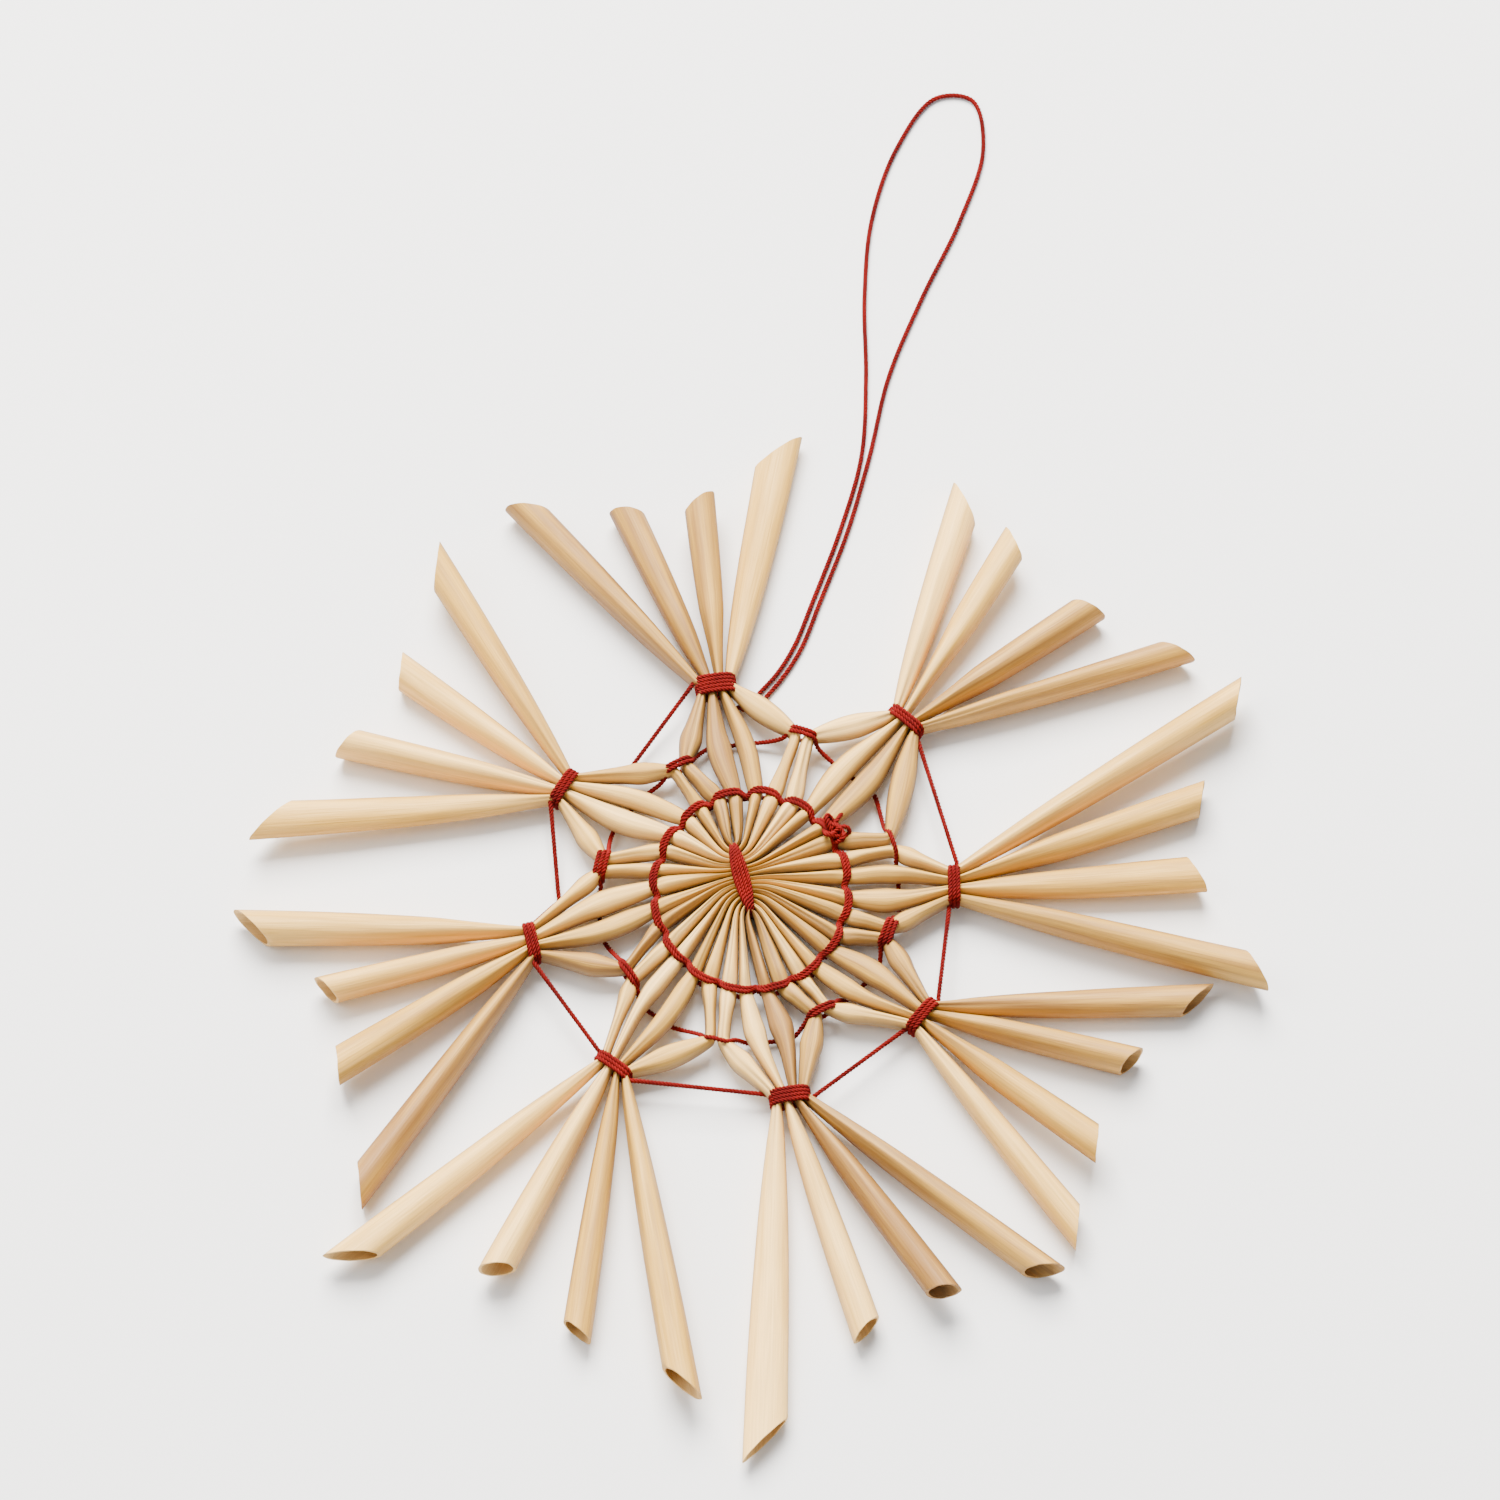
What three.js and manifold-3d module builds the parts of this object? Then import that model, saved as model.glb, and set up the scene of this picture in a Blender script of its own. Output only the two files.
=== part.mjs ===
// Straw star ornament, in millimetres, +Z up, lying flat on its arms.
// Sixteen whole straws lie side by side and are bound round the middle, then fanned out into 32 arms.
// Three more runs of thread shape the star: a ring over every pair of arms, eight ties that join the
// side arms of neighbouring fans, and eight outer ties that gather the arms into fans of four.

import * as THREE from "three";
import { mergeVertices } from "three/addons/utils/BufferGeometryUtils.js";
import Module from "manifold-3d";

const wasm = await Module();
wasm.setup();

// ---- driving dimensions -------------------------------------------------------------------------

const midHeight = 1.9; // height of the star's middle plane above the surface it lies on
const ringCentre = new THREE.Vector2(0.09, 4.22); // centre of the inner ring in the part's frame
const strawCount = 16;
const armCount = 2 * strawCount;
const armsPerFan = 4;

const strawDiameter = 3.25;
const strawVariation = 0.3; // how much thicker or thinner a straw can be
const strawWall = 0.35;
const tipHollow = 3; // depth of the open end
const notchAngle = 20; // each fan's ends are cut along a shallow V
const sides = 8;
const clearance = 0.05; // between a straw and its neighbour
const threadClearance = 0.1; // between a thread and the straw it lies on

const threadRadius = 0.2;
const threadSides = 4;

// The binding in the middle: its direction, its own centre and the pitch of the straws along it.
const bindingBearing = 103;
const bindingCentre = new THREE.Vector2(-0.8, 1.2);
const bindingPitch = 0.38;

// The inner ring: a slight oval, with the arms in pairs under each scallop of the thread.
const ringRadiusAcross = 8.7;
const ringRadiusAlong = 9.6;
const firstDip = 3; // bearing of the dip in the middle of the first fan
const pairSpread = 0.44; // half the spacing of two arms under one scallop, as a share of its half

// The fans, anticlockwise from the right. tie is the radius and bearing of the outer tie. pair is the
// radius and bearing of the tie between this fan's last arm and the next fan's first. arms is the
// bearing and length of each arm beyond the outer tie.
const fans = [
  { tie: [18.2, 2], pair: [13.5, 20], arms: [[-15, 28], [4, 22], [20, 24], [33, 31]] },
  { tie: [21.7, 50], pair: [16.0, 73], arms: [[18, 25], [35, 20], [59, 20], [73, 22]] },
  { tie: [20.3, 99], pair: [13.8, 118], arms: [[79, 24], [96, 18], [114, 19], [132, 24]] },
  { tie: [19.6, 149], pair: [13.6, 169], arms: [[121, 24], [143, 19], [166, 20], [185, 26]] },
  { tie: [20.2, 194], pair: [13.5, 216], arms: [[179, 25], [195, 19], [214, 21], [235, 27]] },
  { tie: [20.8, 234], pair: [14.7, 258], arms: [[220, 29], [243, 22], [262, 25], [280, 30]] },
  { tie: [20.0, 280], pair: [13.1, 299], arms: [[268, 32], [288, 23], [305, 23], [322, 27]] },
  { tie: [19.4, 322], pair: [12.9, 342], arms: [[307, 24], [322, 20], [346, 19], [362, 24]] },
];
const bow = 0.65; // how far the two middle arms of a fan curve apart before their tie
const pairPitch = 1.0; // spacing of the two arms in a middle tie
const tiePitch = 0.76; // spacing of the four arms in an outer tie
const openFan = 1; // no thread runs from this fan's tie to the next one's

// Width and height of a straw where it is bound, and where it swells between two bindings, with the
// room it leaves to its neighbours there.
const boundAtMiddle = [0.3, 2.0, clearance];
const besideMiddle = [0.34, 2.1, clearance];
const swellInRing = [1.6, 2.5, clearance];
const boundAtRing = [1.2, 1.8, clearance];
const swellOutside = [2.2, 2.3, 0.45];
const boundInPair = [0.92, 1.9, clearance];
const boundInTie = [0.68, 2.1, clearance];

// How a straw opens beyond its outer tie: share of its length, then share of its width and height.
const openFrom = 0.5;
const opening = [[0.13, 0.52, 0.8], [openFrom, 0.96, 1], [1, 1, 1]];
const greatestLift = 1.5; // how far an arm's tip can stand clear of the surface

// Colours
const strawTones = { pale: 0xefe0c6, cream: 0xe7d1af, honey: 0xdfbf94, golden: 0xd6b184 };
const toneOfStraw = [
  "honey", "honey", "cream", "pale", "cream", "golden", "cream", "cream",
  "golden", "honey", "cream", "honey", "honey", "pale", "pale", "golden",
];
const threadRed = 0xa3160f;

// ---- helpers ------------------------------------------------------------------------------------

const rad = THREE.MathUtils.degToRad;
const wrap = (value, count) => ((value % count) + count) % count;

function polar(radius, bearing) {
  return new THREE.Vector2(radius * Math.cos(rad(bearing)), radius * Math.sin(rad(bearing)));
}

function raise(point, height) {
  return new THREE.Vector3(point.x, point.y, height);
}

// A closed solid through rings of points, each ring anticlockwise about the direction of travel.
// A joined solid closes on itself, and any other has a flat face at each end.
function skin(rings, joined) {
  const count = rings[0].length;
  const triangles = [];
  const spans = joined ? rings.length : rings.length - 1;
  for (let ring = 0; ring < spans; ring += 1) {
    const here = ring * count;
    const next = ((ring + 1) % rings.length) * count;
    for (let i = 0; i < count; i += 1) {
      const j = (i + 1) % count;
      triangles.push(here + i, here + j, next + j, here + i, next + j, next + i);
    }
  }
  if (!joined) {
    const last = (rings.length - 1) * count;
    for (let i = 1; i < count - 1; i += 1) {
      triangles.push(0, i + 1, i, last, last + i, last + i + 1);
    }
  }
  const vertices = rings.flat().flatMap((point) => [point.x, point.y, point.z]);
  return new wasm.Manifold(new wasm.Mesh({
    numProp: 3,
    vertProperties: new Float32Array(vertices),
    triVerts: new Uint32Array(triangles),
  }));
}

function solidFrom(geometry) {
  const position = geometry.getAttribute("position");
  return new wasm.Manifold(new wasm.Mesh({
    numProp: 3,
    vertProperties: new Float32Array(position.array),
    triVerts: new Uint32Array(geometry.index.array),
  }));
}

// ---- the arms -----------------------------------------------------------------------------------
// Arms count anticlockwise, four to a fan. A straw's two arms are the same number of places to each
// side of the binding's line, so the straws at the ends of the binding are folded double.

const firstRightArm = 10;
const rightArmOf = (straw) => wrap(firstRightArm - straw, armCount);
const leftArmOf = (straw) => wrap(firstRightArm + 1 + straw, armCount);

const alongBinding = polar(1, bindingBearing);
const acrossBinding = polar(1, bindingBearing - 90);

function placeAtBinding(straw, across, forward) {
  const along = bindingPitch * ((strawCount - 1) / 2 - straw) + forward;
  return bindingCentre.clone().addScaledVector(alongBinding, along).addScaledVector(acrossBinding, across);
}

// The straws turn away from the binding in nested bends, the ones at its ends most tightly.
function shoulder(straw, side) {
  const turn = rad((straw + 0.5) * (180 / strawCount));
  return placeAtBinding(straw, side * (0.28 + 2.1 * Math.sin(turn)), 0.2 * Math.cos(turn));
}

function ringPoint(arm) {
  const pair = Math.floor(arm / 2);
  const scallop = 720 / armCount;
  const middle = firstDip + scallop * (pair - 0.5);
  const bearing = middle + (arm % 2 === 0 ? -1 : 1) * pairSpread * (scallop / 2);
  return new THREE.Vector2(
    ringRadiusAcross * Math.cos(rad(bearing)),
    ringRadiusAlong * Math.sin(rad(bearing)),
  );
}

function pairPoint(arm) {
  const slot = arm % armsPerFan;
  const fan = fans[wrap(Math.floor(arm / armsPerFan) - (slot === 0 ? 1 : 0), fans.length)];
  const offset = slot === 0 ? pairPitch / 2 : -pairPitch / 2;
  return polar(...fan.pair).addScaledVector(polar(1, fan.pair[1] + 90), offset);
}

function tiePoint(arm) {
  const fan = fans[Math.floor(arm / armsPerFan)];
  const offset = tiePitch * ((arm % armsPerFan) - (armsPerFan - 1) / 2);
  return polar(...fan.tie).addScaledVector(polar(1, fan.tie[1] + 90), offset);
}

function isSideArm(arm) {
  return arm % armsPerFan === 0 || arm % armsPerFan === armsPerFan - 1;
}

function diameterOf(straw) {
  return strawDiameter + strawVariation * Math.sin(2.6 * straw + 1);
}

function liftOf(arm) {
  return Math.max(0, greatestLift * Math.sin(2.2 * arm + 0.5));
}

function station(at, [width, height, room], level = midHeight) {
  return { at, width, height, room, level };
}

function armStations(arm, straw, side) {
  const start = shoulder(straw, side);
  const ring = ringPoint(arm);
  const tie = tiePoint(arm);
  const stations = [
    station(placeAtBinding(straw, 0, 0), boundAtMiddle),
    station(start, besideMiddle),
    station(start.clone().lerp(ring, 0.72), swellInRing),
    station(ring, boundAtRing),
  ];
  if (isSideArm(arm)) {
    const pair = pairPoint(arm);
    stations.push(station(ring.clone().lerp(pair, 0.5), swellOutside));
    stations.push(station(pair, boundInPair));
    stations.push(station(pair.clone().lerp(tie, 0.5), swellOutside));
  } else {
    const outward = tie.clone().sub(ring).normalize();
    const leftward = new THREE.Vector2(-outward.y, outward.x);
    const bowed = ring.clone().lerp(tie, 0.45).addScaledVector(leftward, arm % 2 === 1 ? -bow : bow);
    stations.push(station(bowed, swellOutside));
  }
  stations.push(station(tie, boundInTie));

  const [bearing, length] = fans[Math.floor(arm / armsPerFan)].arms[arm % armsPerFan];
  const diameter = diameterOf(straw);
  for (const [share, wide, tall] of opening) {
    const resting = THREE.MathUtils.lerp(midHeight, diameter / 2, Math.min(1, share / openFrom));
    const level = resting + share * liftOf(arm);
    const at = tie.clone().add(polar(share * length, bearing));
    stations.push(station(at, [wide * diameter, tall * diameter, clearance], level));
  }
  return stations;
}

const arms = new Array(armCount);
for (let straw = 0; straw < strawCount; straw += 1) {
  arms[rightArmOf(straw)] = armStations(rightArmOf(straw), straw, 1);
  arms[leftArmOf(straw)] = armStations(leftArmOf(straw), straw, -1);
}

function distanceToArm(point, stations) {
  let nearest = Infinity;
  const onSpan = new THREE.Vector2();
  for (let i = 1; i < stations.length; i += 1) {
    const from = stations[i - 1].at;
    const span = stations[i].at.clone().sub(from);
    const share = THREE.MathUtils.clamp(point.clone().sub(from).dot(span) / span.lengthSq(), 0, 1);
    onSpan.copy(from).addScaledVector(span, share);
    nearest = Math.min(nearest, onSpan.distanceTo(point));
  }
  return nearest;
}

// A straw swells only as far as its neighbours leave it room.
for (const stations of arms) {
  const others = arms.filter((other) => other !== stations);
  for (const place of stations.slice(1)) {
    const nearest = Math.min(...others.map((other) => distanceToArm(place.at, other)));
    place.width = Math.min(place.width, nearest - place.room);
  }
}

function headingAt(stations, index) {
  const from = stations[Math.max(index - 1, 0)];
  const to = stations[Math.min(index + 1, stations.length - 1)];
  return to.at.clone().sub(from.at).normalize();
}

// A section has flats above, below and at each side, and its end can be cut on the slant.
function section(place, heading, shrink = 0, slant = 0, back = 0) {
  const leftward = new THREE.Vector2(-heading.y, heading.x);
  const reach = 1 / Math.cos(Math.PI / sides);
  const points = [];
  for (let i = 0; i < sides; i += 1) {
    const turn = (2 * Math.PI * (i + 0.5)) / sides;
    const left = (place.width / 2 - shrink) * reach * Math.cos(turn);
    const up = (place.height / 2 - shrink) * reach * Math.sin(turn);
    const at = place.at.clone().addScaledVector(leftward, left);
    at.addScaledVector(heading, slant * left - back);
    points.push(raise(at, place.level + up));
  }
  return points;
}

function slantOf(arm) {
  const fan = fans[Math.floor(arm / armsPerFan)];
  const axis = fan.arms.reduce((sum, [bearing]) => sum + bearing, 0) / armsPerFan;
  const offAxis = fan.arms[arm % armsPerFan][0] - axis;
  const outward = arm % armsPerFan < armsPerFan / 2 ? -1 : 1;
  return outward * Math.tan(rad(Math.abs(offAxis) + notchAngle));
}

// A straw runs from the tip of its left arm, through the binding, to the tip of its right arm.
function strawSolid(straw) {
  const left = leftArmOf(straw);
  const right = rightArmOf(straw);
  const stations = [...arms[left]].reverse().concat(arms[right].slice(1));
  const last = stations.length - 1;
  const rings = stations.map((place, index) => section(place, headingAt(stations, index)));
  const openEnd = (index, arm, back) => {
    const heading = headingAt(stations, index);
    return [
      section(stations[index], heading, 0, slantOf(arm)),
      section(stations[index], heading, strawWall, slantOf(arm)),
      section(stations[index], heading, strawWall, slantOf(arm), back),
    ];
  };
  rings.splice(last, 1, ...openEnd(last, right, tipHollow));
  rings.splice(0, 1, ...openEnd(0, left, -tipHollow).reverse());
  return skin(rings, false);
}

// ---- the thread ---------------------------------------------------------------------------------

// A closed run of thread through points, with its section's width lying along the given direction.
function threadLoop(points, widthwise, radiiAt = () => [threadRadius, threadRadius]) {
  const rings = points.map((point, index) => {
    const before = points[wrap(index - 1, points.length)];
    const after = points[(index + 1) % points.length];
    const heading = after.clone().sub(before).normalize();
    const wide = widthwise(point).clone();
    wide.addScaledVector(heading, -wide.dot(heading)).normalize();
    const thick = heading.clone().cross(wide);
    const [wideRadius, thickRadius] = radiiAt(index);
    const ring = [];
    for (let i = 0; i < threadSides; i += 1) {
      const turn = (2 * Math.PI * i) / threadSides;
      ring.push(point.clone()
        .addScaledVector(wide, wideRadius * Math.cos(turn))
        .addScaledVector(thick, thickRadius * Math.sin(turn)));
    }
    return ring;
  });
  return skin(rings, true);
}

const fromRingCentre = (point) => new THREE.Vector3(point.x, point.y, 0).normalize();

// The two points where a thread passes over a pair of straws, or under them when side is -1. Each lies
// towards the pair's outer edge.
function passPair(first, second, side) {
  const apart = first.at.clone().sub(second.at).normalize();
  return [[first, 1], [second, -1]].map(([place, outward]) => {
    const at = place.at.clone().addScaledVector(apart, outward * 0.3 * place.width);
    return raise(at, place.level + side * (place.height / 2 + threadRadius + threadClearance));
  });
}

// The inner ring: one strand above the arms and one below, meeting in the dips between the pairs.
function ringStrand(side) {
  const points = [];
  for (let arm = 0; arm < armCount; arm += 2) {
    const first = arms[arm][3];
    const second = arms[arm + 1][3];
    const next = arms[(arm + 2) % armCount][3];
    const dip = second.at.clone().lerp(next.at, 0.5);
    points.push(...passPair(first, second, side), raise(dip, midHeight + side * 0.16));
  }
  return threadLoop(points, fromRingCentre);
}

// The middle ring: over both arms of each middle tie, then under the two middle arms of the next fan.
function crossingAt(arm, radius) {
  const stations = arms[arm];
  for (let i = 4; i < stations.length; i += 1) {
    const inner = stations[i - 1];
    const outer = stations[i];
    if (outer.at.length() >= radius) {
      const span = outer.at.length() - inner.at.length();
      const share = (radius - inner.at.length()) / span;
      return {
        at: inner.at.clone().lerp(outer.at, share),
        width: THREE.MathUtils.lerp(inner.width, outer.width, share),
        height: THREE.MathUtils.lerp(inner.height, outer.height, share),
        level: midHeight,
      };
    }
  }
  return stations[stations.length - 1];
}

function gapBetween(first, second) {
  const span = second.at.clone().sub(first.at);
  const share = 0.5 + (first.width - second.width) / (4 * span.length());
  return raise(first.at.clone().addScaledVector(span, share), midHeight);
}

function middleRing() {
  const points = [];
  fans.forEach((fan, index) => {
    const base = armsPerFan * index;
    const before = fans[wrap(index - 1, fans.length)];
    const radius = (fan.pair[0] + before.pair[0]) / 2;
    const first = arms[base][5];
    const last = arms[base + 3][5];
    const middles = [crossingAt(base + 1, radius), crossingAt(base + 2, radius)];
    const after = arms[(base + armsPerFan) % armCount][5];
    points.push(gapBetween(first, middles[0]), ...passPair(...middles, -1));
    points.push(gapBetween(middles[1], last), ...passPair(last, after, 1));
  });
  return threadLoop(points, fromRingCentre);
}

// The outer ties: a band of thread round each fan's four arms, and a straight run to the next tie.
const bandWidth = 0.8;
const bundleHalfWidth = (armsPerFan * tiePitch) / 2;
const bundleHalfHeight = boundInTie[1] / 2;
const bandOffset = 0.58; // from the bundle's surface to the middle of the thread

function tieBand(fan) {
  const across = polar(1, fan.tie[1] + 90);
  const outline = [];
  for (const [side, up] of [[1, -1], [1, 1], [-1, 1], [-1, -1]]) {
    const corner = [
      [side * (bundleHalfWidth + bandOffset), up * 0.5],
      [side * (bundleHalfWidth - 0.35), up * (bundleHalfHeight + bandOffset)],
    ];
    outline.push(...(side * up < 0 ? corner.reverse() : corner));
  }
  const centre = polar(...fan.tie);
  const points = outline.map(([sideways, up]) =>
    raise(centre.clone().addScaledVector(across, sideways), midHeight + up));
  const along = raise(polar(1, fan.tie[1]), 0);
  return threadLoop(points, () => along, () => [bandWidth / 2, threadRadius]);
}

function tieEnd(fan, side) {
  const across = polar(1, fan.tie[1] + 90);
  return polar(...fan.tie).addScaledVector(across, side * (bundleHalfWidth + bandOffset));
}

function straightRun(from, to) {
  const heading = to.clone().sub(from).normalize();
  const across = raise(new THREE.Vector2(-heading.y, heading.x), 0);
  const upward = new THREE.Vector3(0, 0, 1);
  const rings = [from, to].map((end) => {
    const ring = [];
    for (let i = 0; i < threadSides; i += 1) {
      const turn = (2 * Math.PI * i) / threadSides;
      ring.push(raise(end, midHeight)
        .addScaledVector(across, threadRadius * Math.cos(turn))
        .addScaledVector(upward, threadRadius * Math.sin(turn)));
    }
    return ring;
  });
  return skin(rings, false);
}

function outerRing() {
  let ring = tieBand(fans[0]);
  fans.forEach((fan, index) => {
    const next = fans[(index + 1) % fans.length];
    if (index > 0) {
      ring = ring.add(tieBand(fan));
    }
    if (index !== openFan) {
      ring = ring.add(straightRun(tieEnd(fan, 1), tieEnd(next, -1)));
    }
  });
  return ring;
}

// The middle binding: widest over the middle of the straws and drawn in where it dips at each end.
// A quarter of it, from the middle of its top to its end: how far along, how far up and how wide.
const bindingQuarter = [[0, 1.42, 0.75], [1.5, 1.4, 0.62], [2.8, 1.36, 0.32], [3.42, 0.85, 0.2]];

function centreBinding() {
  const down = [...bindingQuarter, [3.5, 0, 0.2]];
  const half = [...down, ...bindingQuarter.slice(1).reverse().map(([along, up, wide]) => [along, -up, wide])];
  const round = [...half, ...half.map(([along, up, wide]) => [-along, -up, wide])];
  const points = round.map(([along, up]) =>
    raise(bindingCentre.clone().addScaledVector(alongBinding, along), midHeight + up));
  return threadLoop(points, () => raise(acrossBinding, 0), (index) => [round[index][2], threadRadius]);
}

// The inner ring's ends are knotted on top, between the second fan's middle arms and its first.
function ringKnot() {
  const knot = new THREE.Object3D();
  const place = polar(9.3, 38);
  knot.position.copy(raise(place, midHeight + boundAtRing[1] / 2 + 0.35));
  knot.rotation.z = rad(-60);
  knot.scale.set(1.2, 0.6, 0.42);
  knot.updateMatrix();
  const ball = new THREE.IcosahedronGeometry(1, 1);
  ball.deleteAttribute("normal");
  ball.deleteAttribute("uv");
  return solidFrom(mergeVertices(ball).applyMatrix4(knot.matrix));
}

// The hanging loop: one thread, out from under the top fan's side arm beside its tie and back there,
// its two strands close together and its bight lying open beyond the fans.
const loopRoute = [
  [-0.35, 18.86, 0.42], [0.8, 20.3, 0.32], [2.43, 22.28, 0.3], [4.0, 25.05, 0.3], [5.64, 29.4, 0.3],
  [8.2, 36.6, 0.3], [10.15, 44.0, 0.3], [10.6, 52.0, 0.3], [10.5, 60.0, 0.3], [11.2, 68.0, 0.3],
  [13.6, 75.5, 0.3], [17.2, 80.6, 0.3], [20.6, 80.4, 0.3], [21.6, 75.4, 0.3], [19.4, 68.0, 0.3],
  [15.8, 60.0, 0.3], [12.7, 52.0, 0.3], [10.9, 44.0, 0.3], [8.85, 36.4, 0.3], [6.26, 29.2, 0.3],
  [4.6, 24.75, 0.3], [2.97, 21.92, 0.3], [1.4, 19.9, 0.32], [0.25, 18.44, 0.42],
];
const loopSteps = 80;

function hangingLoop() {
  const route = new THREE.CatmullRomCurve3(loopRoute.map((point) => new THREE.Vector3(...point)));
  const outline = new THREE.Shape();
  outline.absarc(0, 0, threadRadius, 0, 2 * Math.PI, false);
  return new THREE.ExtrudeGeometry(outline, {
    steps: loopSteps,
    curveSegments: 4,
    bevelEnabled: false,
    extrudePath: route,
  });
}

// ---- the pieces ---------------------------------------------------------------------------------

function geometryFrom(solid) {
  const mesh = solid.getMesh();
  const geometry = new THREE.BufferGeometry();
  geometry.setAttribute("position", new THREE.BufferAttribute(new Float32Array(mesh.vertProperties), 3));
  geometry.setIndex(new THREE.BufferAttribute(new Uint32Array(mesh.triVerts), 1));
  return geometry;
}

const star = new THREE.Group();
star.position.set(ringCentre.x, ringCentre.y, 0);

function addPiece(name, geometry, colour, roughness) {
  const material = new THREE.MeshStandardMaterial({ color: colour, roughness, metalness: 0 });
  const piece = new THREE.Mesh(geometry, material);
  piece.name = name;
  star.add(piece);
}

for (let straw = 0; straw < strawCount; straw += 1) {
  const name = `straw_${String(straw + 1).padStart(2, "0")}`;
  addPiece(name, geometryFrom(strawSolid(straw)), strawTones[toneOfStraw[straw]], 0.55);
}
addPiece("centre_binding", geometryFrom(centreBinding()), threadRed, 0.85);
addPiece("inner_ring_thread", geometryFrom(ringStrand(1).add(ringStrand(-1)).add(ringKnot())), threadRed, 0.85);
addPiece("middle_ring_thread", geometryFrom(middleRing()), threadRed, 0.85);
addPiece("outer_ring_thread", geometryFrom(outerRing()), threadRed, 0.85);
addPiece("hanging_loop", hangingLoop(), threadRed, 0.85);

export default star;
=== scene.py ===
import math

import bpy
import numpy as np
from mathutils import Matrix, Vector


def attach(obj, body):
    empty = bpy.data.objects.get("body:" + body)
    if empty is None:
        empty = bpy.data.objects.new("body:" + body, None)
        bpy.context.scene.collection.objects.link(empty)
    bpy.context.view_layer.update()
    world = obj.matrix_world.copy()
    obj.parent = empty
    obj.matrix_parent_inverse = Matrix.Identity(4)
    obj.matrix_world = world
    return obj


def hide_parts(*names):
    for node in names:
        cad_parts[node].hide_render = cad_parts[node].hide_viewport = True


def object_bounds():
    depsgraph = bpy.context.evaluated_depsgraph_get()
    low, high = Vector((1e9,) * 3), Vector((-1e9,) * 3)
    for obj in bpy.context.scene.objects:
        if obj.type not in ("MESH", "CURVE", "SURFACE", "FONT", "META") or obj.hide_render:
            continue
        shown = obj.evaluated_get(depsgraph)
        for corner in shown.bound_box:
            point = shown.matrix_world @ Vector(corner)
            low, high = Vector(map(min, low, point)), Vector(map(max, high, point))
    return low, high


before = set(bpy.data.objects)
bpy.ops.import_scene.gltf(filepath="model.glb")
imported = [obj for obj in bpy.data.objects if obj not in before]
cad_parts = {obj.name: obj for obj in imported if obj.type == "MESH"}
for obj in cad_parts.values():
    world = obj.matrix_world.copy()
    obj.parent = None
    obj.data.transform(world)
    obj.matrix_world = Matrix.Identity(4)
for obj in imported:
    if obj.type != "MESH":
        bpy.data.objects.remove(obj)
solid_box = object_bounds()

# ---- The straws ---------------------------------------------------------------------------------
# Sixteen whole rye straws, bound side by side and fanned out into 32 arms, four to a fan. Soaked
# soft, each is squeezed flat under every thread and dries full and round between them. Both its ends
# are cut slantwise and stay open.

# Places are in millimetres from the centre of the inner ring, and bearings in degrees.
mm = 0.001
ring_centre = (0.09, 4.22)
mid_height = 1.9  # of the straws where they are bound, above the table
straw_count, arm_count, arms_per_fan = 16, 32, 4
binding_bearing, binding_centre = 103, np.array([-0.8, 1.2])
binding_pitch = 0.38  # from straw to straw where they lie side by side
shoulder_least, shoulder_reach, shoulder_spread = 0.28, 1.55, 0.25  # where they leave the binding
ring_radii = (8.7, 9.6)  # the inner ring's reach sideways and upwards
first_dip, pair_spread = 3, 0.44  # the bearing of its first dip, and a pair's share of a scallop
pair_pitch, tie_pitch = 1.0, 0.76  # from straw to straw in a pair's tie, and in a fan's
bow = 0.65  # how far a fan's middle arms bow apart

# The fans, anticlockwise from the right: the radius and bearing of the fan's outer tie and of the
# tie between its last arm and the next fan's first, and each arm's bearing and length.
fans = [
    {"tie": (18.2, 2), "pair": (13.5, 20), "arms": [(-15, 28), (4, 22), (20, 24), (33, 31)]},
    {"tie": (21.7, 50), "pair": (16.0, 73), "arms": [(18, 25), (35, 20), (59, 20), (73, 22)]},
    {"tie": (20.3, 99), "pair": (13.8, 118), "arms": [(79, 24), (96, 18), (114, 19), (132, 24)]},
    {"tie": (19.6, 149), "pair": (13.6, 169), "arms": [(121, 24), (143, 19), (166, 20), (185, 26)]},
    {"tie": (20.2, 194), "pair": (13.5, 216), "arms": [(179, 25), (195, 19), (214, 21), (235, 27)]},
    {"tie": (20.8, 234), "pair": (14.7, 258), "arms": [(220, 29), (243, 22), (262, 25), (280, 30)]},
    {"tie": (20.0, 280), "pair": (13.1, 299), "arms": [(268, 32), (288, 23), (305, 23), (322, 27)]},
    {"tie": (19.4, 322), "pair": (12.9, 342), "arms": [(307, 24), (322, 20), (346, 19), (362, 24)]},
]


def polar(radius, bearing):
    return radius * np.array([math.cos(math.radians(bearing)), math.sin(math.radians(bearing))])


along_binding, across_binding = polar(1, binding_bearing), polar(1, binding_bearing - 90)


def in_bundle(straw, across, forward):
    along = binding_pitch * ((straw_count - 1) / 2 - straw) + forward
    return binding_centre + along * along_binding + across * across_binding


def shoulder(straw, side):
    turn = math.radians((straw + 0.5) * 180 / straw_count)
    reach = shoulder_least + shoulder_reach * math.sin(turn)
    return in_bundle(straw, side * reach, shoulder_spread * math.cos(turn))


def ring_place(arm):
    scallop = 720 / arm_count
    middle = first_dip + scallop * (arm // 2 - 0.5)
    bearing = math.radians(middle + (-1 if arm % 2 == 0 else 1) * pair_spread * scallop / 2)
    return np.array([ring_radii[0] * math.cos(bearing), ring_radii[1] * math.sin(bearing)])


def pair_place(arm):
    first = arm % arms_per_fan == 0
    radius, bearing = fans[(arm // arms_per_fan - (1 if first else 0)) % len(fans)]["pair"]
    return polar(radius, bearing) + (0.5 if first else -0.5) * pair_pitch * polar(1, bearing + 90)


def tie_place(arm):
    radius, bearing = fans[arm // arms_per_fan]["tie"]
    offset = tie_pitch * (arm % arms_per_fan - (arms_per_fan - 1) / 2)
    return polar(radius, bearing) + offset * polar(1, bearing + 90)


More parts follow.
